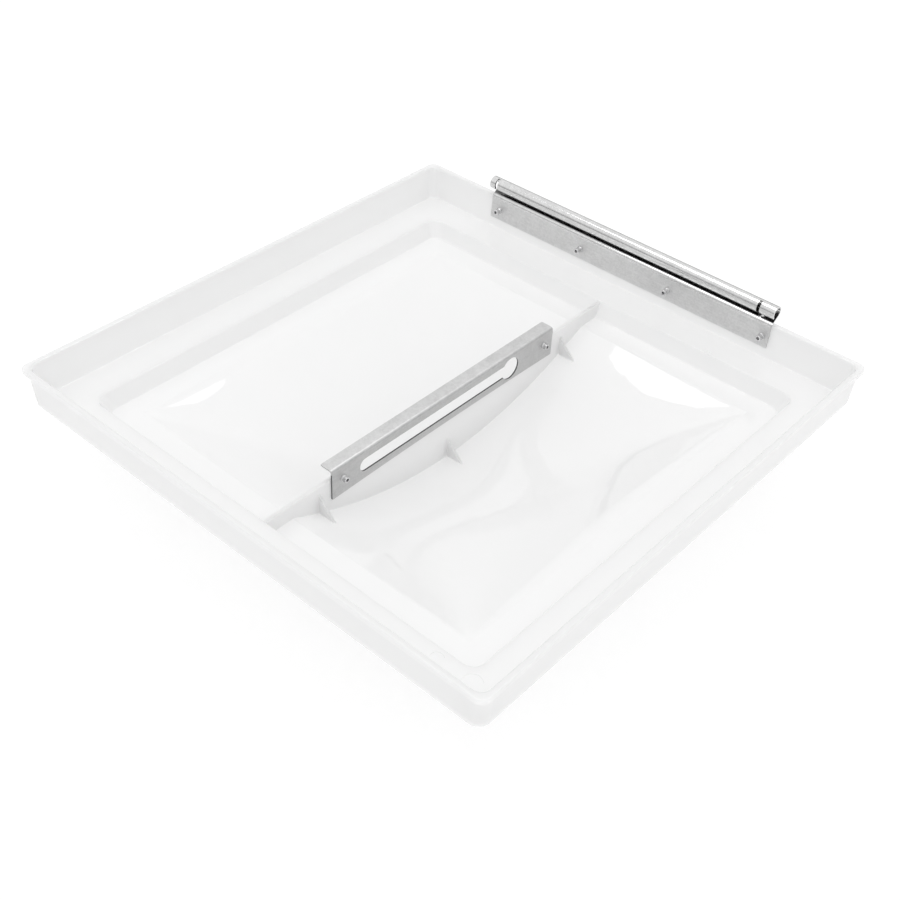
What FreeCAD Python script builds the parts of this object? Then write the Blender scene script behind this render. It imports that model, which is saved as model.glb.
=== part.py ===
import FreeCAD, Part
import math
import os

import Sketcher
from FreeCAD import Placement, Rotation, Vector

# Square roof-vent lid, lying with its open underside up.
#
# Frame of the whole model: the origin is the middle of the hinge curl's axis, X runs along that
# axis, Y points away from the lid and Z points up, out of the open underside. The lid's middle
# lies a little to the right of the curl's.
# Lid frame, used by the lid and the bracket: the origin is the middle of the rim plane, so
# everything below the rim has a negative z.

LID_SIZES = {
    "rim_side": 375.0,
    "rim_corner": 5.5,
    "lip_tall": 3.2,
    "lip_out": 1.6,
    "lip_round": 1.0,
    "rim_inner_round": 1.2,
    "wall": 2.5,
    "skirt_corner": 8.0,
    "skirt_inner_corner": 6.0,
    "skirt_taper": 1.6,
    "foot_round": 2.4,
    "ledge_depth": 25.2,
    "step_mouth_side": 316.0,
    "step_foot_side": 306.0,
    "step_corner": 8.0,
    "step_depth": 36.5,
    "dome_side": 274.0,
    "dome_depth": 71.0,
    "hip_sharpness": 4.0,
    "rib_thick": 2.0,
    "rib_below_ledge": 0.4,
    "gusset_reach": 14.0,
    "gusset_rise": 15.0,
    "gusset_thick": 1.5,
    "gusset_pitch": 114.4,
    "brace_shift": -1.5,
    "crease_round": 0.8,
    "mark_depth": 0.3,
    "mark_large": 12.0,
    "mark_small": 8.0,
    "mark_large_across": 162.0,
    "mark_small_across": 138.0,
    "mark_inset": 164.5,
    "step_mark_across": 89.0,
    # How far a cut runs past the face that it opens.
    "cut_past": 1.0,
}
HINGE_SIZES = {
    "hinge_length": 244.5,
    "strip_thick": 1.0,
    "curl_radius": 4.75,
    "curl_end_angle": 222.0,
    "run_angle": 35.0,
    "run_length": 7.0,
    "bend_inner": 1.0,
    "leaf_length": 16.9,
    "leaf_trim": 3.0,
    "trim_top": 1.2,
    "trim_step": 5.2,
    "slit_width": 2.2,
    "slit_left_inset": 4.6,
    "slit_right_inset": 11.0,
    "slit_low": 3.9,
    "slit_far": 0.5,
    "lid_aside": 3.0,
    "lid_back": 186.8,
    "rim_drop": 8.0,
}
BRACKET_SIZES = {
    "bracket_length": 207.8,
    "bracket_shift": -2.6,
    "bracket_thick": 1.0,
    "bracket_tall": 22.0,
    "bracket_arch": 1.4,
    "bracket_corner": 0.5,
    "flange_wide": 9.8,
    "bracket_bend": 2.0,
    "bracket_top_depth": 19.2,
    "slot_depth": 30.3,
    "slot_width": 9.4,
    "slot_start": 80.6,
    "keyhole_across": 16.2,
    "keyhole_centre": 59.9,
    "relief_margin": 2.5,
}
RIVET_SIZES = {
    "rivet_body": 4.0,
    "rivet_hole": 4.2,
    "rivet_bore": 2.2,
    "rivet_tail": 5.0,
    "rivet_head": 8.0,
    "rivet_head_tall": 1.4,
    "rivet_bulb": 0.3,
    "hinge_rivet_pitch": 76.2,
    "hinge_rivet_depth": 10.2,
    "bracket_rivet_tail": 3.6,
    "bracket_rivet_pitch": 189.4,
    "bracket_rivet_depth": 29.2,
}

document = FreeCAD.newDocument("roof_vent_lid")


def make_sheet():
    """One spreadsheet with every driving size, each cell under a plain-word alias."""
    sheet = document.addObject("Spreadsheet::Sheet", "Sizes")
    row = 1
    for group in (LID_SIZES, HINGE_SIZES, BRACKET_SIZES, RIVET_SIZES):
        for alias, value in group.items():
            sheet.set("A%d" % row, alias)
            sheet.set("B%d" % row, str(value))
            sheet.setAlias("B%d" % row, alias)
            row += 1
    document.recompute()
    return sheet


sheet = make_sheet()

# Lengths in mm that only steer the modelling and are no size of the piece.
SMALLEST_CUT = 0.1
OVERSHOOT = 20.0


def size(alias):
    """The number in one cell of the sheet."""
    return float(sheet.get(alias))


def cells(expression):
    """Writes an expression's sheet names in full: [wall] becomes Sizes.wall."""
    return expression.replace("[", "Sizes.").replace("]", "")


def evaluate(expression):
    """The value of such an expression, for placing sketch geometry before it is constrained."""
    return float(sheet.evalExpression(cells(expression)))


# ---------------------------------------------------------------- sketch and body helpers


def new_body(label):
    """An empty PartDesign body with its own label."""
    body = document.addObject("PartDesign::Body", label)
    body.Label = label
    return body


def origin_plane(body, role):
    """One of a body's own origin planes."""
    for feature in body.Origin.OriginFeatures:
        if feature.Role == role:
            return feature
    raise ValueError("no such plane: " + role)


def new_sketch(body, name, role, offset="0"):
    """A sketch on a body's origin plane, moved along the plane's normal by an expression."""
    sketch = body.newObject("Sketcher::SketchObject", name)
    sketch.AttachmentSupport = (origin_plane(body, role), [""])
    sketch.MapMode = "FlatFace"
    sketch.setExpression("AttachmentOffset.Base.z", cells(offset))
    document.recompute()
    return sketch


def bind(sketch, constraint, expression):
    """Adds a constraint and ties its value to the sheet."""
    index = sketch.addConstraint(constraint)
    sketch.setExpression("Constraints[%d]" % index, cells(expression))
    return index


def pin_point(sketch, edge, end, across, up):
    """Fixes one end of an edge at two coordinates given as expressions."""
    for kind, expression in (("DistanceX", across), ("DistanceY", up)):
        value = evaluate(expression)
        bind(sketch, Sketcher.Constraint(kind, -1, 1, edge, end, value), expression)


def draw_outline(sketch, points):
    """A closed outline through points, each (across, up, radius, bulge).

    The edge that leaves a point is straight where its radius is None, and otherwise an arc of
    that radius. A bulge of 1 puts the arc's centre on the left of the way along, -1 on the right,
    and 2 or -2 does the same for an arc of more than half a turn.
    """
    places = [Vector(evaluate(point[0]), evaluate(point[1]), 0) for point in points]
    starts = []
    ends = []
    for index, point in enumerate(points):
        here = places[index]
        there = places[(index + 1) % len(points)]
        if point[2] is None:
            edge = sketch.addGeometry(Part.LineSegment(here, there), False)
            starts.append((edge, 1))
            ends.append((edge, 2))
            continue
        radius = evaluate(point[2])
        chord = there - here
        left = Vector(-chord.y, chord.x, 0).normalize()
        rise = math.sqrt(max(radius ** 2 - (chord.Length / 2) ** 2, 0.0))
        side = math.copysign(1, point[3])
        if abs(point[3]) == 2:
            rise = -rise
        centre = (here + there) * 0.5 + left * (rise * side)
        first = math.atan2(here.y - centre.y, here.x - centre.x)
        last = math.atan2(there.y - centre.y, there.x - centre.x)
        circle = Part.Circle(centre, Vector(0, 0, 1), radius)
        if side > 0:
            edge = sketch.addGeometry(Part.ArcOfCircle(circle, first, last), False)
            starts.append((edge, 1))
            ends.append((edge, 2))
        else:
            edge = sketch.addGeometry(Part.ArcOfCircle(circle, last, first), False)
            starts.append((edge, 2))
            ends.append((edge, 1))
    for index, point in enumerate(points):
        follower = starts[(index + 1) % len(points)]
        sketch.addConstraint(Sketcher.Constraint("Coincident", *ends[index], *follower))
        pin_point(sketch, starts[index][0], starts[index][1], point[0], point[1])
        if point[2] is not None:
            radius = evaluate(point[2])
            bind(sketch, Sketcher.Constraint("Radius", starts[index][0], radius), point[2])


def draw_rounded_square(sketch, half, corner):
    """A square about the origin with rounded corners; half side and corner are expressions."""
    flat = "(%s - (%s))" % (half, corner)
    points = []
    for across, up in ((1, -1), (1, 1), (-1, 1), (-1, -1)):
        far_x = "%d * (%s)" % (across, half)
        far_y = "%d * (%s)" % (up, half)
        near_x = "%d * %s" % (across, flat)
        near_y = "%d * %s" % (up, flat)
        if across * up < 0:
            points.append((near_x, far_y, corner, 1))
            points.append((far_x, near_y, None, 0))
        else:
            points.append((far_x, near_y, corner, 1))
            points.append((near_x, far_y, None, 0))
    draw_outline(sketch, points)


def draw_circle(sketch, across, up, radius):
    """A circle whose centre and radius are expressions."""
    centre = Vector(evaluate(across), evaluate(up), 0)
    edge = sketch.addGeometry(Part.Circle(centre, Vector(0, 0, 1), evaluate(radius)), False)
    pin_point(sketch, edge, 3, across, up)
    bind(sketch, Sketcher.Constraint("Radius", edge, evaluate(radius)), radius)


def draw_rectangle(sketch, left, right, low, high):
    """A rectangle between four coordinates given as expressions."""
    corners = ((left, low), (right, low), (right, high), (left, high))
    draw_outline(sketch, [(across, up, None, 0) for across, up in corners])


def pad(body, name, sketch, length, reverse=False, symmetric=False):
    """Adds the sketch's area, pulled along its normal."""
    feature = body.newObject("PartDesign::Pad", name)
    feature.Profile = sketch
    feature.setExpression("Length", cells(length))
    feature.Reversed = reverse
    if symmetric:
        feature.SideType = "Symmetric"
    sketch.Visibility = False
    document.recompute()
    return feature


def pocket(body, name, sketch, length, reverse=False, symmetric=False):
    """Cuts the sketch's area away and checks that the body got smaller."""
    before = body.Shape.Volume
    feature = body.newObject("PartDesign::Pocket", name)
    feature.Profile = sketch
    feature.setExpression("Length", cells(length))
    feature.Reversed = reverse
    if symmetric:
        feature.SideType = "Symmetric"
    document.recompute()
    if body.Shape.Volume > before - SMALLEST_CUT:
        raise ValueError("%s cut nothing" % name)
    return feature


def loft(body, name, lower, upper, cutting=False):
    """A straight-sided block, or hollow, between two sketches with the same number of edges."""
    kind = "PartDesign::SubtractiveLoft" if cutting else "PartDesign::AdditiveLoft"
    feature = body.newObject(kind, name)
    feature.Profile = lower
    feature.Sections = [upper]
    feature.Ruled = True
    document.recompute()
    return feature


def edges_where(shape, test):
    """Names of the edges all of whose points pass a test."""
    names = []
    for index, edge in enumerate(shape.Edges):
        span = edge.LastParameter - edge.FirstParameter
        shares = (0.0, 0.33, 0.67, 1.0)
        points = [edge.valueAt(edge.FirstParameter + share * span) for share in shares]
        if all(test(point) for point in points):
            names.append("Edge%d" % (index + 1))
    return names


def fillet(body, name, radius, test):
    """Rounds the edges of a body's last feature whose points pass a test."""
    base = body.Tip
    names = edges_where(base.Shape, test)
    if not names:
        raise ValueError("%s found no edge" % name)
    feature = body.newObject("PartDesign::Fillet", name)
    feature.Base = (base, names)
    feature.setExpression("Radius", cells(radius))
    document.recompute()
    return feature


# ---------------------------------------------------------------- the moulded lid


def lid_square(body, name, depth, half, corner):
    """A rounded square at some depth below the rim."""
    sketch = new_sketch(body, name, "XY_Plane", "-(%s)" % depth)
    draw_rounded_square(sketch, half, corner)
    return sketch


def lid_square_loft(body, name, low, high, cutting=False):
    """A tapered block between two rounded squares, each (depth, half side, corner)."""
    lower = lid_square(body, name + "_low", *low)
    upper = lid_square(body, name + "_high", *high)
    return loft(body, name, lower, upper, cutting)


def near(value, target, reach=0.15):
    """Whether two lengths agree."""
    return abs(value - target) < reach


def make_lid_frame():
    """The lid without its dome: lip, tapered skirt, flat ledge, sloping step and step floor."""
    body = new_body("lid_frame")
    skirt_top = "([rim_side] / 2 - [lip_out])"
    skirt_foot = "([rim_side] / 2 - [lip_out] - [skirt_taper])"
    inner_shrink = "([wall] + [skirt_taper] * [ledge_depth] / ([ledge_depth] + [wall]))"
    foot_depth = "([ledge_depth] + [wall])"
    slope = "(([step_mouth_side] - [step_foot_side]) / 2 / ([step_depth] - [ledge_depth]))"
    grow = "([wall] * (sqrt(1 + %s ^ 2) - %s))" % (slope, slope)
    lid_square_loft(
        body,
        "skirt_block",
        (foot_depth, skirt_foot, "[skirt_corner]"),
        ("0", skirt_top, "[skirt_corner]"),
    )
    lip = lid_square(body, "lip_outline", "[lip_tall]", "[rim_side] / 2", "[rim_corner]")
    pad(body, "lip", lip, "[lip_tall]")
    lid_square_loft(
        body,
        "step_block",
        ("[step_depth] + [wall]", "[step_foot_side] / 2 + " + grow, "[step_corner]"),
        ("[ledge_depth]", "[step_mouth_side] / 2 + %s + %s * [wall]" % (grow, slope), "[step_corner]"),
    )
    foot = -size("ledge_depth") - size("wall")
    inside_step = size("step_mouth_side") / 2 + 2 * size("wall")
    fillet(body, "foot_rounding", "[foot_round]", lambda p: near(p.z, foot) and outer_half(p) > inside_step)
    rim_middle = size("rim_side") / 2 - size("wall")
    fillet(body, "lip_rounding", "[lip_round]", lambda p: near(p.z, 0) and outer_half(p) > rim_middle)
    lid_square_loft(
        body,
        "skirt_hollow",
        ("[ledge_depth]", "[rim_side] / 2 - [lip_out] - " + inner_shrink, "[skirt_inner_corner]"),
        ("0", skirt_top + " - [wall]", "[skirt_inner_corner]"),
        cutting=True,
    )
    lid_square_loft(
        body,
        "step_hollow",
        ("[step_depth]", "[step_foot_side] / 2", "[step_corner]"),
        ("[ledge_depth]", "[step_mouth_side] / 2", "[step_corner]"),
        cutting=True,
    )
    fillet(
        body,
        "rim_inner_rounding",
        "[rim_inner_round]",
        lambda p: near(p.z, 0) and outer_half(p) < rim_middle,
    )
    round_lid_creases(body)
    press_mould_marks(body)
    window = new_sketch(body, "dome_outline", "XY_Plane", "-[step_depth] - [wall] - [cut_past]")
    reach = "[dome_side] / 2"
    draw_rectangle(window, "-" + reach, reach, "-" + reach, reach)
    pocket(body, "dome_window", window, "[wall] + 2 * [cut_past]", reverse=True)
    return body


def round_lid_creases(body):
    """Softens the inner creases at the skirt's foot, the step's mouth and the step's foot."""
    ledge = -size("ledge_depth")
    step = -size("step_depth")
    mouth = size("step_mouth_side") / 2 + size("crease_round")
    panel = size("dome_side") / 2
    fillet(body, "skirt_crease", "[crease_round]", lambda p: near(p.z, ledge) and outer_half(p) > mouth)
    fillet(body, "step_mouth", "[crease_round]", lambda p: near(p.z, ledge) and outer_half(p) < mouth)
    fillet(body, "step_crease", "[crease_round]", lambda p: near(p.z, step) and outer_half(p) > panel)


def press_mould_marks(body):
    """Three plain round mould marks: two near a corner of the ledge and one on the step's mouth."""
    marks = new_sketch(body, "mark_outlines", "XY_Plane", "-[ledge_depth]")
    draw_circle(marks, "[mark_large_across]", "-[mark_inset]", "[mark_large] / 2")
    draw_circle(marks, "[mark_small_across]", "-[mark_inset]", "[mark_small] / 2")
    draw_circle(marks, "[step_mark_across]", "[step_mouth_side] / 2", "[mark_small] / 2")
    pocket(body, "mould_marks", marks, "[mark_depth]")


def outer_half(point):
    """How far a point is out from the lid's middle, measured square to the nearest side."""
    return max(abs(point.x), abs(point.y))


def dome_drop(across, along):
    """How far the dome's inner face lies below the step floor at one place in the lid frame.

    Each centre line is a parabola. Between them four soft hips run to the corners: the two
    parabolas are blended so that the shallower one rules, the more so the sharper the hip.
    """
    half = size("dome_side") / 2
    sharpness = size("hip_sharpness")
    rises = []
    for place in (across, along):
        rises.append(max(1 - (place / half) ** 2, 0.0))
    if min(rises) < 1e-6:
        return 0.0
    blend = rises[0] ** -sharpness + rises[1] ** -sharpness - 1
    return (size("dome_depth") - size("step_depth")) * blend ** (-1 / sharpness)


def dome_face(lower):
    """The dome's inner face as one smooth B-spline sheet, lowered by a given amount.

    The poles lie on an even grid over the square, so the sheet follows the heights without
    overshoot, and its straight outer edges lie exactly on the step floor.
    """
    degree = 3
    spans = 28
    half = size("dome_side") / 2
    inner_knots = [share / spans for share in range(1, spans)]
    knots = [0.0] + inner_knots + [1.0]
    multiplicities = [degree + 1] + [1] * len(inner_knots) + [degree + 1]
    flat_knots = [0.0] * (degree + 1) + inner_knots + [1.0] * (degree + 1)
    pole_count = spans + degree
    stations = []
    for index in range(pole_count):
        greville = sum(flat_knots[index + 1:index + 1 + degree]) / degree
        stations.append((2 * greville - 1) * half)
    floor = -size("step_depth") - lower
    poles = []
    for across in stations:
        poles.append([Vector(across, along, floor - dome_drop(across, along)) for along in stations])
    surface = Part.BSplineSurface()
    surface.buildFromPolesMultsKnots(
        poles, multiplicities, multiplicities, knots, knots, False, False, degree, degree
    )
    return surface.toShape()


def add_feature(name, shape):
    """A document object that holds one shape in the lid frame."""
    feature = document.addObject("Part::Feature", name)
    feature.Shape = shape
    return feature


def make_dome():
    """The dome panel: its inner face thickened downwards by the wall."""
    return add_feature("dome_panel", dome_face(0).extrude(Vector(0, 0, -size("wall"))))


def make_rib_trimmer():
    """Everything below the middle of the dome's wall, which the rib and gussets stop at."""
    depth = size("dome_depth") + OVERSHOOT
    return add_feature("under_dome", dome_face(size("wall") / 2).extrude(Vector(0, 0, -depth)))


def make_rib():
    """The upright centre rib, with its top lowered behind the bracket's slot."""
    body = new_body("rib_plate")
    outline = new_sketch(body, "rib_outline", "YZ_Plane")
    top = "-([ledge_depth] + [rib_below_ledge])"
    floor = "-([step_depth] + [wall] / 2)"
    mouth = "([step_mouth_side] / 2 + [wall] / 3)"
    foot = "([step_foot_side] / 2 + [wall] / 3)"
    bottom = "-([dome_depth] + [wall])"
    panel = "([dome_side] / 2)"
    points = [
        ("-" + mouth, top),
        ("-" + foot, floor),
        ("-" + panel, floor),
        ("-" + panel, bottom),
        (panel, bottom),
        (panel, floor),
        (foot, floor),
        (mouth, top),
    ]
    draw_outline(outline, [(across, up, None, 0) for across, up in points])
    pad(body, "rib", outline, "[rib_thick]", symmetric=True)
    relief = new_sketch(body, "relief_outline", "YZ_Plane")
    start = "[bracket_shift] - [slot_start] - [relief_margin]"
    end = "[bracket_shift] + [keyhole_centre] + [keyhole_across] / 2 + [relief_margin]"
    low = "-([slot_depth] + [keyhole_across] / 2 + [relief_margin])"
    draw_rectangle(relief, start, end, low, top + " + [cut_past]")
    pocket(body, "slot_relief", relief, "[rib_thick] + 2 * [cut_past]", symmetric=True)
    return body


def make_gusset(station):
    """A thin triangular plate that crosses the rib and braces it against the dome."""
    body = new_body("gusset_plate_%d" % (station + 2))
    centre = "([brace_shift] + %d * [gusset_pitch])" % station
    sketch = new_sketch(body, "gusset_outline_%d" % (station + 2), "XZ_Plane", "-" + centre)
    drop = "([dome_depth] - [step_depth]) * (1 - (%s / ([dome_side] / 2)) ^ 2)" % centre
    foot = "-([step_depth] + %s)" % drop
    apex = foot + " + [gusset_rise]"
    root = foot + " - [gusset_rise]"
    points = [
        ("-[gusset_reach]", root),
        ("[gusset_reach]", root),
        ("[gusset_reach]", foot),
        ("[rib_thick] / 4", apex),
        ("-[rib_thick] / 4", apex),
        ("-[gusset_reach]", foot),
    ]
    draw_outline(sketch, [(across, up, None, 0) for across, up in points])
    pad(body, "gusset_%d" % (station + 2), sketch, "[gusset_thick]", symmetric=True)
    return body


def make_join(name, shapes):
    """One solid out of several."""
    join = document.addObject("Part::MultiFuse", name)
    join.Shapes = shapes
    document.recompute()
    return join


def make_cut(name, base, tool):
    """A solid less another one, checked to have got smaller."""
    cut = document.addObject("Part::Cut", name)
    cut.Base = base
    cut.Tool = tool
    document.recompute()
    if cut.Shape.Volume > base.Shape.Volume - SMALLEST_CUT:
        raise ValueError("%s cut nothing" % name)
    return cut


def place(feature, across, along, up, rotation=None):
    """Ties a feature's position to the sheet; the rotation is plain."""
    feature.Placement = Placement(Vector(), rotation or Rotation())
    for letter, expression in (("x", across), ("y", along), ("z", up)):
        feature.setExpression("Placement.Base." + letter, cells(expression))


def taper_angle():
    """The skirt's draft in degrees."""
    return math.degrees(math.atan2(size("skirt_taper"), size("ledge_depth") + size("wall")))


def hinge_rivet_seat():
    """Where a hinge rivet's head sits on the skirt's outer face, in the lid frame."""
    lean = "[skirt_taper] / ([ledge_depth] + [wall])"
    along = "[rim_side] / 2 - [lip_out] - %s * [hinge_rivet_depth]" % lean
    return along, "-[hinge_rivet_depth]"


HINGE_STATIONS = (-1.5, -0.5, 0.5, 1.5)
BRACKET_STATIONS = (-0.5, 0.5)
TO_INSIDE = Rotation(Vector(1, 0, 0), 90 - taper_angle())
TO_RIGHT = Rotation(Vector(0, 1, 0), 90)


def make_hole(name, across, along, up, rotation):
    """A rivet hole as a cylinder that starts a little outside the rivet head's seat."""
    hole = document.addObject("Part::Cylinder", name)
    hole.setExpression("Radius", cells("[rivet_hole] / 2"))
    hole.setExpression("Height", cells("4 * [wall]"))
    place(hole, across, along, up, rotation)
    return hole


def make_holes():
    """The six rivet holes in the lid: four through the skirt and two through the rib."""
    holes = []
    along, up = hinge_rivet_seat()
    for index, station in enumerate(HINGE_STATIONS):
        across = "%.1f * [hinge_rivet_pitch]" % station
        back = along + " + [wall]"
        holes.append(make_hole("skirt_hole_%d" % (index + 1), across, back, up, TO_INSIDE))
    for index, station in enumerate(BRACKET_STATIONS):
        along = "[bracket_shift] + %.1f * [bracket_rivet_pitch]" % station
        up = "-[bracket_rivet_depth]"
        holes.append(make_hole("rib_hole_%d" % (index + 1), "-2 * [wall]", along, up, TO_RIGHT))
    document.recompute()
    return make_join("rivet_holes", holes)


def make_lid():
    """The whole moulding in one piece, moved from the lid frame to the hinge frame."""
    braces = make_join("braces", [make_rib()] + [make_gusset(station) for station in (-1, 0, 1)])
    trimmed = make_cut("trimmed_braces", braces, make_rib_trimmer())
    moulding = make_join("moulding", [make_lid_frame(), make_dome(), trimmed])
    lid = make_cut("lid_shell", moulding, make_holes())
    place(lid, "[lid_aside]", "-[lid_back]", "-[rim_drop]")
    return lid


# ---------------------------------------------------------------- the sheet-metal pieces


def make_hinge():
    """A strip rolled into a curl along its top, running down over the rim into a riveted leaf."""
    body = new_body("hinge_strip")
    profile = new_sketch(body, "hinge_profile", "YZ_Plane")
    lean = "atan([skirt_taper] / ([ledge_depth] + [wall]))"
    inner = "([curl_radius] - [strip_thick])"
    outer_bend = "([bend_inner] + [strip_thick])"

    def polar(radius, angle):
        return ("%s * cos(%s)" % (radius, angle), "%s * sin(%s)" % (radius, angle))

    def offset(point, radius, across, up):
        return (
            "%s + %s * (%s)" % (point[0], radius, across),
            "%s + %s * (%s)" % (point[1], radius, up),
        )

    run = "[run_angle]"
    leave = "%s - 90" % run
    curl_out = polar("[curl_radius]", leave)
    curl_in = polar(inner, leave)
    run_out = offset(curl_out, "[run_length]", "-cos(%s)" % run, "-sin(%s)" % run)
    run_in = offset(curl_in, "[run_length]", "-cos(%s)" % run, "-sin(%s)" % run)
    centre = offset(run_out, "[bend_inner]", "sin(%s)" % run, "-cos(%s)" % run)
    leaf_out = offset(centre, "[bend_inner]", "-cos(%s)" % lean, "sin(%s)" % lean)
    leaf_in = offset(centre, outer_bend, "-cos(%s)" % lean, "sin(%s)" % lean)
    foot_out = offset(leaf_out, "[leaf_length]", "-sin(%s)" % lean, "-cos(%s)" % lean)
    foot_in = offset(leaf_in, "[leaf_length]", "-sin(%s)" % lean, "-cos(%s)" % lean)
    tip_out = polar("[curl_radius]", "[curl_end_angle]")
    tip_in = polar(inner, "[curl_end_angle]")
    points = [
        tip_out + ("[curl_radius]", -2),
        curl_out + (None, 0),
        run_out + ("[bend_inner]", 1),
        leaf_out + (None, 0),
        foot_out + (None, 0),
        foot_in + (None, 0),
        leaf_in + (outer_bend, -1),
        run_in + (None, 0),
        curl_in + (inner, 2),
        tip_in + (None, 0),
    ]
    draw_outline(profile, points)
    pad(body, "strip", profile, "[hinge_length]", symmetric=True)
    cut_hinge_slits(body)
    trim_leaf_end(body)
    holes = new_sketch(body, "leaf_holes", "XZ_Plane")
    grip = "([wall] + [strip_thick] / 2)"
    height = "-([rim_drop] + [hinge_rivet_depth] - %s * sin(%s))" % (grip, lean)
    for station in HINGE_STATIONS:
        across = "[lid_aside] + %.1f * [hinge_rivet_pitch]" % station
        draw_circle(holes, across, height, "[rivet_hole] / 2")
    pocket(body, "leaf_hole_cut", holes, "6 * [curl_radius]", symmetric=True)
    return body


def cut_hinge_slits(body):
    """A slit near each end, from the curl's free edge up over its front to the top."""
    slits = new_sketch(body, "slit_outlines", "XY_Plane", "-[slit_low]")
    half = "[hinge_length] / 2"
    near_edge = "-[slit_far]"
    far_edge = "-2 * [curl_radius]"
    left = "-%s + [slit_left_inset]" % half
    right = "%s - [slit_right_inset]" % half
    draw_rectangle(slits, left, left + " + [slit_width]", far_edge, near_edge)
    draw_rectangle(slits, right + " - [slit_width]", right, far_edge, near_edge)
    pocket(body, "curl_slits", slits, "3 * [curl_radius]", reverse=True)


def trim_leaf_end(body):
    """Shortens the leaf, the run and the curl's lower back at the left end, which leaves a tab."""
    trim = new_sketch(body, "trim_outline", "YZ_Plane", "-[hinge_length] / 2")
    back = "2 * [curl_radius]"
    front = "-[curl_radius] / 2"
    far_front = "-2 * [curl_radius]"
    low = "-([rim_drop] + 2 * [leaf_length])"
    points = [
        (far_front, low),
        (back, low),
        (back, "-[trim_top]"),
        (front, "-[trim_top]"),
        (front, "-[trim_step]"),
        (far_front, "-[trim_step]"),
    ]
    draw_outline(trim, [(across, up, None, 0) for across, up in points])
    pocket(body, "leaf_end_trim", trim, "[leaf_trim]", reverse=True)


def make_bracket():
    """A right-angle steel bracket on the rib, with a keyhole slot for the opener's arm."""
    body = new_body("operator_bracket")
    profile = new_sketch(body, "bracket_profile", "XZ_Plane")
    inner = "[rib_thick] / 2"
    outer = "([rib_thick] / 2 + [bracket_thick])"
    top = "-[bracket_top_depth]"
    under = "-([bracket_top_depth] + [bracket_thick])"
    bend = "-([bracket_top_depth] + [bracket_bend])"
    bottom = "-([bracket_top_depth] + [bracket_tall])"
    tip = "(%s - [flange_wide])" % outer
    corner = "(%s - [bracket_bend])" % outer
    points = [
        (inner, bottom, None, 0),
        (outer, bottom, None, 0),
        (outer, bend, "[bracket_bend]", 1),
        (corner, top, None, 0),
        (tip, top, None, 0),
        (tip, under, None, 0),
        (corner, under, "[bracket_bend] - [bracket_thick]", -1),
        (inner, bend, None, 0),
    ]
    draw_outline(profile, points)
    pad(body, "angle", profile, "[bracket_length]", symmetric=True)
    round_bracket_corners(body)
    cuts = new_sketch(body, "slot_outline", "YZ_Plane")
    half = "[slot_width] / 2"
    start = "(%s - [slot_start])" % half
    root = "([keyhole_centre] - sqrt(([keyhole_across] / 2) ^ 2 - (%s) ^ 2))" % half
    low = "-([slot_depth] + %s)" % half
    high = "-([slot_depth] - %s)" % half
    outline = [
        (start, low, None, 0),
        (root, low, "[keyhole_across] / 2", 2),
        (root, high, None, 0),
        (start, high, half, 1),
    ]
    draw_outline(cuts, outline)
    for station in BRACKET_STATIONS:
        along = "%.1f * [bracket_rivet_pitch]" % station
        draw_circle(cuts, along, "-[bracket_rivet_depth]", "[rivet_hole] / 2")
    pocket(body, "slot_cut", cuts, "4 * %s" % outer, symmetric=True)
    arch_bracket_foot(body)
    place(body, "[lid_aside]", "[bracket_shift] - [lid_back]", "-[rim_drop]")
    return body


def arch_bracket_foot(body):
    """Trims the bracket's lower edge to a shallow arch that is highest at mid length."""
    arch = new_sketch(body, "arch_outline", "YZ_Plane")
    end = "([bracket_length] / 2 - 2 * [bracket_corner])"
    bottom = "-([bracket_top_depth] + [bracket_tall])"
    radius = "((%s ^ 2 + [bracket_arch] ^ 2) / (2 * [bracket_arch]))" % end
    below = bottom + " - [cut_past]"
    points = [
        ("-" + end, bottom, None, 0),
        ("-" + end, below, None, 0),
        (end, below, None, 0),
        (end, bottom, radius, 1),
    ]
    draw_outline(arch, points)
    pocket(body, "foot_arch", arch, "4 * [flange_wide]", symmetric=True)


def round_bracket_corners(body):
    """Rounds the four sheet corners of the bracket."""
    end = size("bracket_length") / 2
    bottom = -size("bracket_top_depth") - size("bracket_tall")
    tip = size("rib_thick") / 2 + size("bracket_thick") - size("flange_wide")

    def is_corner(point):
        low_or_out = near(point.z, bottom) or near(point.x, tip)
        return near(abs(point.y), end) and low_or_out

    fillet(body, "sheet_corners", "[bracket_corner]", is_corner)


# ---------------------------------------------------------------- rivets


def make_rivet(label, grip, tail_length, across, along, up, rotation):
    """A hollow blind rivet: domed flange head, shank and the tail it leaves on the far side.

    Its own z axis runs from the head to the tail, and z is zero where the head sits.
    """
    body = new_body(label)
    profile = new_sketch(body, label + "_profile", "XZ_Plane")
    bore = "[rivet_bore] / 2"
    shank = "[rivet_body] / 2"
    bulb = "(%s + [rivet_bulb])" % shank
    tail = "(%s + %s)" % (grip, tail_length)
    edge = "[rivet_head_tall] / 4"
    points = [
        (bore, "-[rivet_head_tall]", None, 0),
        ("[rivet_head] / 4", "-[rivet_head_tall]", "[rivet_head] / 2", 1),
        ("[rivet_head] / 2", "-" + edge, None, 0),
        ("[rivet_head] / 2", "0", None, 0),
        (shank, "0", None, 0),
        (shank, grip, None, 0),
        (bulb, grip, None, 0),
        (bulb, "%s + %s / 5" % (grip, tail_length), None, 0),
        (shank, "%s + %s / 3" % (grip, tail_length), None, 0),
        (shank, tail + " - [rivet_bulb]", None, 0),
        (shank + " - [rivet_bulb]", tail, None, 0),
        (bore, tail, None, 0),
    ]
    draw_outline(profile, points)
    turn = body.newObject("PartDesign::Revolution", label + "_turn")
    turn.Profile = profile
    turn.ReferenceAxis = (profile, ["V_Axis"])
    turn.Angle = 360
    document.recompute()
    place(body, across, along, up, rotation)
    return body


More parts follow.
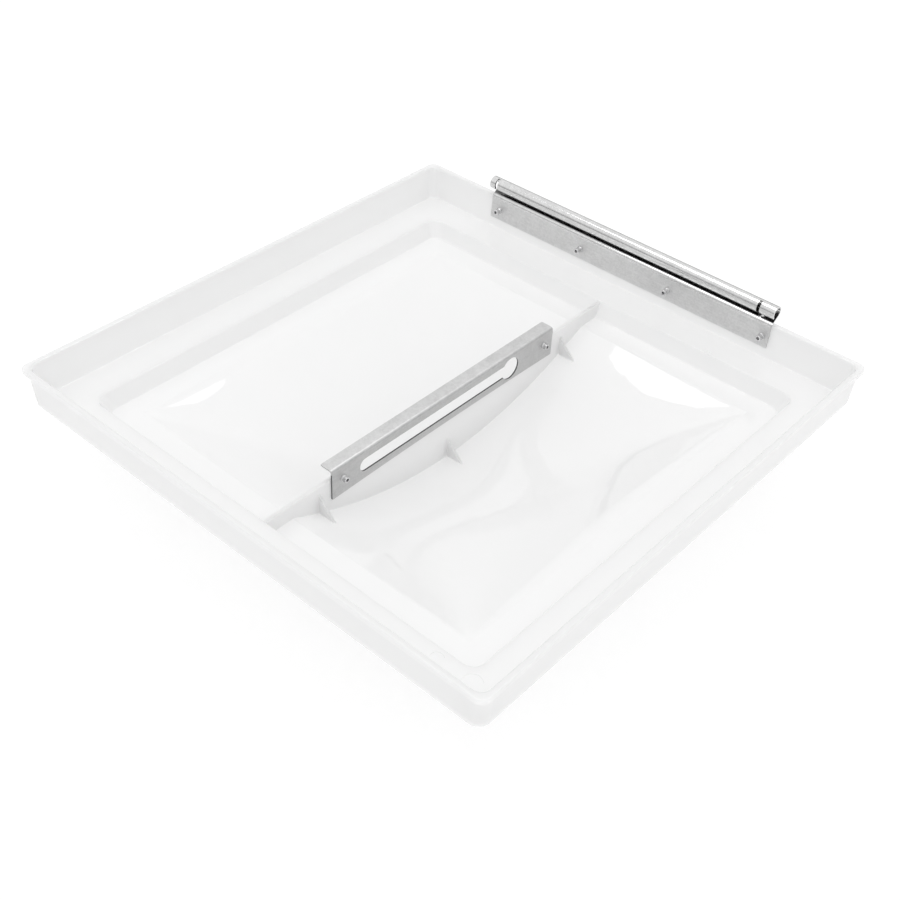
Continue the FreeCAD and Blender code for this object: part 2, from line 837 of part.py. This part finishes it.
def make_rivets():
    """Four rivets through the hinge leaf and two through the bracket."""
    rivets = []
    along, up = hinge_rivet_seat()
    for index, station in enumerate(HINGE_STATIONS):
        label = "hinge_rivet_%d" % (index + 1)
        across = "[lid_aside] + %.1f * [hinge_rivet_pitch]" % station
        grip = "([wall] + [strip_thick])"
        back = along + " - [lid_back]"
        height = up + " - [rim_drop]"
        rivets.append(make_rivet(label, grip, "[rivet_tail]", across, back, height, TO_INSIDE))
    for index, station in enumerate(BRACKET_STATIONS):
        label = "bracket_rivet_%d" % (index + 1)
        across = "[lid_aside] - [rib_thick] / 2"
        along = "[bracket_shift] - [lid_back] + %.1f * [bracket_rivet_pitch]" % station
        grip = "([rib_thick] + [bracket_thick])"
        height = "-[bracket_rivet_depth] - [rim_drop]"
        rivets.append(make_rivet(label, grip, "[bracket_rivet_tail]", across, along, height, TO_RIGHT))
    return rivets


# ---------------------------------------------------------------- checks and files


def check_all():
    """Stops on any object in an error state and on any null or invalid shape."""
    document.recompute()
    for item in document.Objects:
        if "Invalid" in item.State or "Error" in item.State:
            raise ValueError("%s is in a bad state: %s" % (item.Name, item.State))
        if hasattr(item, "Shape") and item.Name != "Sizes":
            if item.Shape.isNull() or not item.Shape.isValid():
                raise ValueError("%s has no valid shape" % item.Name)


def write_parts(pieces):
    """One STEP file per piece, named after its label."""
    os.makedirs("parts", exist_ok=True)
    for piece in pieces:
        if len(piece.Shape.Solids) != 1:
            raise ValueError("%s is not one solid" % piece.Label)
        piece.Shape.exportStep("parts/%s.step" % piece.Label)
        box = piece.Shape.BoundBox
        spans = "%.2f %.2f %.2f to %.2f %.2f %.2f" % (
            box.XMin, box.YMin, box.ZMin, box.XMax, box.YMax, box.ZMax
        )
        print(piece.Label, "%.0f mm3," % piece.Shape.Volume, spans)


pieces = [make_lid(), make_hinge(), make_bracket()] + make_rivets()
check_all()
write_parts(pieces)
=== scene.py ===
import math

import bpy
from mathutils import Matrix, Vector


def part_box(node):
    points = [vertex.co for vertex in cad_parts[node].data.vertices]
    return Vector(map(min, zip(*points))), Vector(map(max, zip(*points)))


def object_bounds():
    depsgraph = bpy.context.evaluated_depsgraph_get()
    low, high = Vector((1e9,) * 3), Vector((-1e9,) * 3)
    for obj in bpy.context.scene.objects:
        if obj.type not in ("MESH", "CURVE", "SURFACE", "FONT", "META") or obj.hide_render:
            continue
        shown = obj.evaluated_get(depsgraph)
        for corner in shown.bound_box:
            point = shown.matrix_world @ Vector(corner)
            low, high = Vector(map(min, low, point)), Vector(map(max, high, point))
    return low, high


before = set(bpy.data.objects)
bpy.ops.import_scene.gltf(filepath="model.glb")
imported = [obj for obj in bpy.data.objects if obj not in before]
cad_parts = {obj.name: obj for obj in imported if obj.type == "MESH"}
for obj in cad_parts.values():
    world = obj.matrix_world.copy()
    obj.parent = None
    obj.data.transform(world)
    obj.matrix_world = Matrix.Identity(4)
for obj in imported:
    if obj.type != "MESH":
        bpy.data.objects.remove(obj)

CAD_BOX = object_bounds()

# ---------------------------------------------------------------- node helpers


def new_material(name):
    """A material with an empty node tree, its Principled shader and its output."""
    material = bpy.data.materials.new(name)
    material.use_nodes = True
    nodes = material.node_tree.nodes
    nodes.clear()
    output = nodes.new("ShaderNodeOutputMaterial")
    shader = nodes.new("ShaderNodeBsdfPrincipled")
    material.node_tree.links.new(shader.outputs["BSDF"], output.inputs["Surface"])
    return material, shader


def link(material, source, target):
    """Joins two sockets."""
    material.node_tree.links.new(source, target)


def coordinates(material, scale=(1, 1, 1)):
    """The row frame's coordinates, stretched."""
    nodes = material.node_tree.nodes
    place = nodes.new("ShaderNodeTexCoord")
    mapping = nodes.new("ShaderNodeMapping")
    mapping.inputs["Scale"].default_value = scale
    link(material, place.outputs["Object"], mapping.inputs["Vector"])
    return mapping.outputs["Vector"]


def noise(material, vector, scale, detail, roughness=0.5):
    """Fractal noise from 0 to 1."""
    node = material.node_tree.nodes.new("ShaderNodeTexNoise")
    node.inputs["Scale"].default_value = scale
    node.inputs["Detail"].default_value = detail
    node.inputs["Roughness"].default_value = roughness
    link(material, vector, node.inputs["Vector"])
    return node.outputs["Fac"]


def spangle(material, vector, scale):
    """Flat random cells, as zinc crystals are, each with one value from 0 to 1."""
    nodes = material.node_tree.nodes
    cells = nodes.new("ShaderNodeTexVoronoi")
    cells.feature = "F1"
    cells.inputs["Scale"].default_value = scale
    cells.inputs["Randomness"].default_value = 1.0
    link(material, vector, cells.inputs["Vector"])
    split = nodes.new("ShaderNodeSeparateColor")
    link(material, cells.outputs["Color"], split.inputs["Color"])
    return split.outputs["Red"]


def spread(material, value, low, high, start=0.3, end=0.7):
    """Maps a value's start to end onto low to high, held at both ends; the world has nodes too."""
    node = material.node_tree.nodes.new("ShaderNodeMapRange")
    node.inputs["From Min"].default_value = start
    node.inputs["From Max"].default_value = end
    node.inputs["To Min"].default_value = low
    node.inputs["To Max"].default_value = high
    link(material, value, node.inputs["Value"])
    return node.outputs["Result"]


def join(material, operation, first, second):
    """One arithmetic step on two sockets or plain numbers."""
    node = material.node_tree.nodes.new("ShaderNodeMath")
    node.operation = operation
    for index, value in enumerate((first, second)):
        if isinstance(value, (int, float)):
            node.inputs[index].default_value = value
        else:
            link(material, value, node.inputs[index])
    return node.outputs["Value"]


def two_tone(material, amount, first, second):
    """A colour between two, each a plain colour or a socket."""
    node = material.node_tree.nodes.new("ShaderNodeMix")
    node.data_type = "RGBA"
    for key, colour in (("A", first), ("B", second)):
        if isinstance(colour, tuple):
            node.inputs[key].default_value = (*colour, 1)
        else:
            link(material, colour, node.inputs[key])
    link(material, amount, node.inputs["Factor"])
    return node.outputs["Result"]


def surface_part(material, output, axis):
    """One part of the surface's position or normal, in the row frame."""
    nodes = material.node_tree.nodes
    surface = nodes.new("ShaderNodeNewGeometry")
    split = nodes.new("ShaderNodeSeparateXYZ")
    link(material, surface.outputs[output], split.inputs["Vector"])
    return split.outputs[axis]


def grey(tone):
    """A neutral colour."""
    return (tone, tone, tone)


def bump(material, shader, height, distance, strength):
    """Raises the surface's normal by a height; distance is in metres."""
    node = material.node_tree.nodes.new("ShaderNodeBump")
    node.inputs["Distance"].default_value = distance
    node.inputs["Strength"].default_value = strength
    link(material, height, node.inputs["Height"])
    link(material, node.outputs["Normal"], shader.inputs["Normal"])


# ---------------------------------------------------------------- materials

# Lengths, and heights in the row frame, in metres.
FINE_RELIEF = 0.00002
DENT_RELIEF = 0.00006
SCATTER_DEPTH = 0.018
BEND_DEPTH = 0.003
# Heights of the painted shade under the hinge curl's fold.
FOLD_SHADE_TOP = -0.0025
FOLD_SHADE_FULL = -0.0060
FOLD_SHADE_GONE = -0.0071
LEAF_TOP = -0.0088
BURNISH_FADE = 0.001

# Limits on a normal's part along one axis.
EDGE_TURN = 0.4
FACES_UP = 0.3

PLASTIC_IOR = 1.49


def lid_plastic():
    """Glossy milky polypropylene: soft cloudiness, a faint moulding ripple and light scuffs."""
    material, shader = new_material("lid_plastic")
    place = coordinates(material)
    cloud = noise(material, place, 9.0, detail=3.0)
    tone = two_tone(material, spread(material, cloud, 0, 1), grey(0.84), grey(0.86))
    link(material, tone, shader.inputs["Base Color"])
    scuffs = noise(material, place, 140.0, detail=6.0, roughness=0.7)
    patches = noise(material, place, 16.0, detail=3.0)
    worn = join(material, "MULTIPLY", spread(material, scuffs, 0, 1, 0.5, 0.8), patches)
    dulled = join(material, "MULTIPLY", worn, 0.08)
    rough = join(material, "ADD", 0.02, dulled)
    link(material, rough, shader.inputs["Roughness"])
    ripple = noise(material, place, 45.0, detail=1.5)
    bump(material, shader, ripple, FINE_RELIEF, 0.5)
    shader.inputs["IOR"].default_value = PLASTIC_IOR
    shader.inputs["Subsurface Weight"].default_value = 1.0
    shader.inputs["Subsurface Radius"].default_value = (1.0, 1.0, 1.0)
    shader.inputs["Subsurface Scale"].default_value = SCATTER_DEPTH
    return material


def cut_edges(material, top):
    """One on the sheared edges of a sheet that stands square to X, below the height top."""
    facing = join(material, "ABSOLUTE", surface_part(material, "True Normal", "X"), 0.0)
    edge = join(material, "LESS_THAN", facing, EDGE_TURN)
    below = join(material, "LESS_THAN", surface_part(material, "Position", "Z"), top)
    return join(material, "MULTIPLY", edge, below)


def fold_painted_shade(material):
    """Painted shade on the sheet under the curl, where the curl shades it: one there, fading out
    towards the bend.

    It reaches the bottom of the curl's bore too.
    """
    height = surface_part(material, "Position", "Z")
    upward = join(material, "GREATER_THAN", surface_part(material, "True Normal", "Z"), FACES_UP)
    under = join(material, "LESS_THAN", height, FOLD_SHADE_TOP)
    inside = spread(material, height, 0.0, 1.0, FOLD_SHADE_GONE, FOLD_SHADE_FULL)
    return join(material, "MULTIPLY", inside, join(material, "MULTIPLY", upward, under))


def galvanised_steel(name, dark, light, streak, edge_shade_below=None, rolled_above=None):
    """Zinc-coated sheet with spangle, rolling streaks and handling patches.

    Cut edges below a given height are painted nearly black as shade. Above the height rolled_above
    the sheet is burnished by its rolling, with painted shade in its fold under the curl.
    """
    material, shader = new_material(name)
    place = coordinates(material)
    along = coordinates(material, scale=streak)
    fine = spangle(material, place, 900.0)
    coarse = spangle(material, place, 260.0)
    mottle = noise(material, place, 60.0, detail=5.0, roughness=0.6)
    fine_share = join(material, "MULTIPLY", fine, 0.35)
    coarse_share = join(material, "MULTIPLY", coarse, 0.2)
    mottle_share = join(material, "MULTIPLY", mottle, 0.45)
    blend = join(material, "ADD", join(material, "ADD", fine_share, coarse_share), mottle_share)
    lines = noise(material, along, 220.0, detail=3.0)
    streaked = join(material, "ADD", blend, join(material, "MULTIPLY", lines, 0.5))
    worn = spread(material, streaked, 0, 1, 0.45, 1.05)
    tone = two_tone(material, worn, grey(dark), grey(light))
    if edge_shade_below is not None:
        # Painted shade: the cut edges are darkened nearly to black.
        tone = two_tone(material, cut_edges(material, edge_shade_below), tone, grey(0.12))
    shader.inputs["Metallic"].default_value = 1.0
    matt = spread(material, blend, 0.36, 0.5, 0.25, 0.75)
    rough = join(material, "ADD", matt, join(material, "MULTIPLY", lines, 0.08))
    height = join(material, "ADD", join(material, "MULTIPLY", fine, 0.4), lines)
    if rolled_above is not None:
        # Painted shade: the sheet under the curl's fold is darkened.
        tone = two_tone(material, fold_painted_shade(material), tone, grey(0.15))
        place_z = surface_part(material, "Position", "Z")
        start = rolled_above - BURNISH_FADE
        rolled = spread(material, place_z, 1.0, 0.3, start, rolled_above)
        rough = join(material, "MULTIPLY", rough, rolled)
        height = join(material, "MULTIPLY", height, rolled)
    link(material, tone, shader.inputs["Base Color"])
    link(material, rough, shader.inputs["Roughness"])
    bump(material, shader, height, FINE_RELIEF, 0.5)
    return material


def rivet_aluminium():
    """Plain aluminium with small dents."""
    material, shader = new_material("rivet_aluminium")
    place = coordinates(material)
    dents = noise(material, place, 500.0, detail=4.0, roughness=0.6)
    tone = two_tone(material, spread(material, dents, 0, 1), (0.62, 0.62, 0.63), grey(0.78))
    link(material, tone, shader.inputs["Base Color"])
    shader.inputs["Metallic"].default_value = 1.0
    link(material, spread(material, dents, 0.22, 0.38), shader.inputs["Roughness"])
    bump(material, shader, dents, DENT_RELIEF, 0.6)
    return material


def dress_nodes():
    """Gives each CAD node its material."""
    plastic = lid_plastic()
    aluminium = rivet_aluminium()
    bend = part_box("operator_bracket")[1][2] - BEND_DEPTH
    along_x = (0.02, 1, 3)
    along_y = (1, 0.02, 3)
    finishes = {
        "lid_shell": plastic,
        "hinge_strip": galvanised_steel("hinge_steel", 0.62, 0.75, along_x, rolled_above=LEAF_TOP),
        # The bracket's cut edges below the bend get painted shade.
        "operator_bracket": galvanised_steel("bracket_steel", 0.50, 0.61, along_y, edge_shade_below=bend),
    }
    for name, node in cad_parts.items():
        finish = finishes.get(name, aluminium)
        node.data.materials.clear()
        node.data.materials.append(finish)


# ---------------------------------------------------------------- camera, floor and light

LID_LOW, LID_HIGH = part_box("lid_shell")
MIDDLE_X = (LID_LOW[0] + LID_HIGH[0]) / 2
MIDDLE_Y = (LID_LOW[1] + LID_HIGH[1]) / 2
RIM_MIDDLE = Vector((MIDDLE_X, MIDDLE_Y, LID_HIGH[2]))
CAMERA_PLACE = RIM_MIDDLE + Vector((0.425346, -0.505029, 0.490551))
CAMERA_AZIMUTH = 39.992
CAMERA_ELEVATION = 40.212
CAMERA_ROLL = 2.954
CAMERA_LENS = 52.75
SOFTBOX_PLACE = RIM_MIDDLE + Vector((-0.183, 0.218, 1.173))
SOFTBOX_ALONG = (0.719, 0.699)
SOFTBOX_SIZE = (1.1, 0.37)
SOFTBOX_RADIANCE = 3.8
HORIZON_LIGHT = 0.42
ZENITH_LIGHT = 1.03
HORIZON_ENDS = 0.05
ZENITH_STARTS = 0.5
FLOOR_HALF = 6.0
FLOOR_GLOW = 0.6


def make_camera():
    """The camera: azimuth is measured from -Y towards +X, and roll about the line of sight."""
    azimuth = math.radians(CAMERA_AZIMUTH)
    elevation = math.radians(CAMERA_ELEVATION)
    roll = math.radians(CAMERA_ROLL)
    level = math.cos(elevation)
    back = Vector((math.sin(azimuth) * level, -math.cos(azimuth) * level, math.sin(elevation)))
    right = Vector((math.cos(azimuth), math.sin(azimuth), 0))
    up = back.cross(right)
    turned_right = right * math.cos(roll) + up * math.sin(roll)
    turned_up = -right * math.sin(roll) + up * math.cos(roll)
    data = bpy.data.cameras.new("camera")
    data.lens = CAMERA_LENS
    data.sensor_width = 36.0
    data.clip_start = 0.01
    data.clip_end = 50.0
    camera = bpy.data.objects.new("camera", data)
    turn = Matrix((turned_right, turned_up, back)).transposed().to_4x4()
    camera.matrix_world = Matrix.Translation(CAMERA_PLACE) @ turn
    bpy.context.scene.collection.objects.link(camera)
    bpy.context.scene.camera = camera


def make_floor():
    """A plain pale floor under the dome, which gives off a little light of its own."""
    half = FLOOR_HALF
    height = CAD_BOX[0].z
    mesh = bpy.data.meshes.new("floor")
    around = ((-half, -half), (half, -half), (half, half), (-half, half))
    corners = [(x, y, height) for x, y in around]
    mesh.from_pydata(corners, [], [(0, 1, 2, 3)])
    floor = bpy.data.objects.new("floor", mesh)
    bpy.context.scene.collection.objects.link(floor)
    material, shader = new_material("floor_paper")
    place = coordinates(material)
    tooth = noise(material, place, 300.0, detail=3.0)
    tone = two_tone(material, spread(material, tooth, 0, 1), grey(0.44), grey(0.46))
    link(material, tone, shader.inputs["Base Color"])
    shader.inputs["Roughness"].default_value = 0.9
    shader.inputs["Emission Color"].default_value = (1, 1, 1, 1)
    shader.inputs["Emission Strength"].default_value = FLOOR_GLOW
    mesh.materials.append(material)


def make_softbox(name, centre, along, size, radiance):
    """A level softbox that faces down and lights nothing diffusely, so it shows in reflections.

    along is the direction of its long side, and size is in metres.
    """
    data = bpy.data.lights.new(name, "AREA")
    data.shape = "RECTANGLE"
    data.size, data.size_y = size
    data.energy = radiance * math.pi * size[0] * size[1]
    light = bpy.data.objects.new(name, data)
    light.location = centre
    light.rotation_euler = (0, 0, math.atan2(along[1], along[0]))
    light.visible_diffuse = False
    bpy.context.scene.collection.objects.link(light)


def make_world():
    """White light from all round, brighter overhead than at the horizon."""
    world = bpy.data.worlds.new("studio")
    world.use_nodes = True
    nodes = world.node_tree.nodes
    sky = nodes["Background"]
    sky.inputs["Color"].default_value = (1, 1, 1, 1)
    direction = nodes.new("ShaderNodeTexCoord")
    split = nodes.new("ShaderNodeSeparateXYZ")
    world.node_tree.links.new(direction.outputs["Generated"], split.inputs["Vector"])
    height = split.outputs["Z"]
    strength = spread(world, height, HORIZON_LIGHT, ZENITH_LIGHT, HORIZON_ENDS, ZENITH_STARTS)
    world.node_tree.links.new(strength, sky.inputs["Strength"])
    bpy.context.scene.world = world


def make_lights():
    """One softbox overhead in a white surround."""
    make_world()
    make_softbox("overhead", SOFTBOX_PLACE, SOFTBOX_ALONG, SOFTBOX_SIZE, SOFTBOX_RADIANCE)


dress_nodes()
make_camera()
make_floor()
make_lights()
bpy.context.scene.view_settings.view_transform = "Standard"
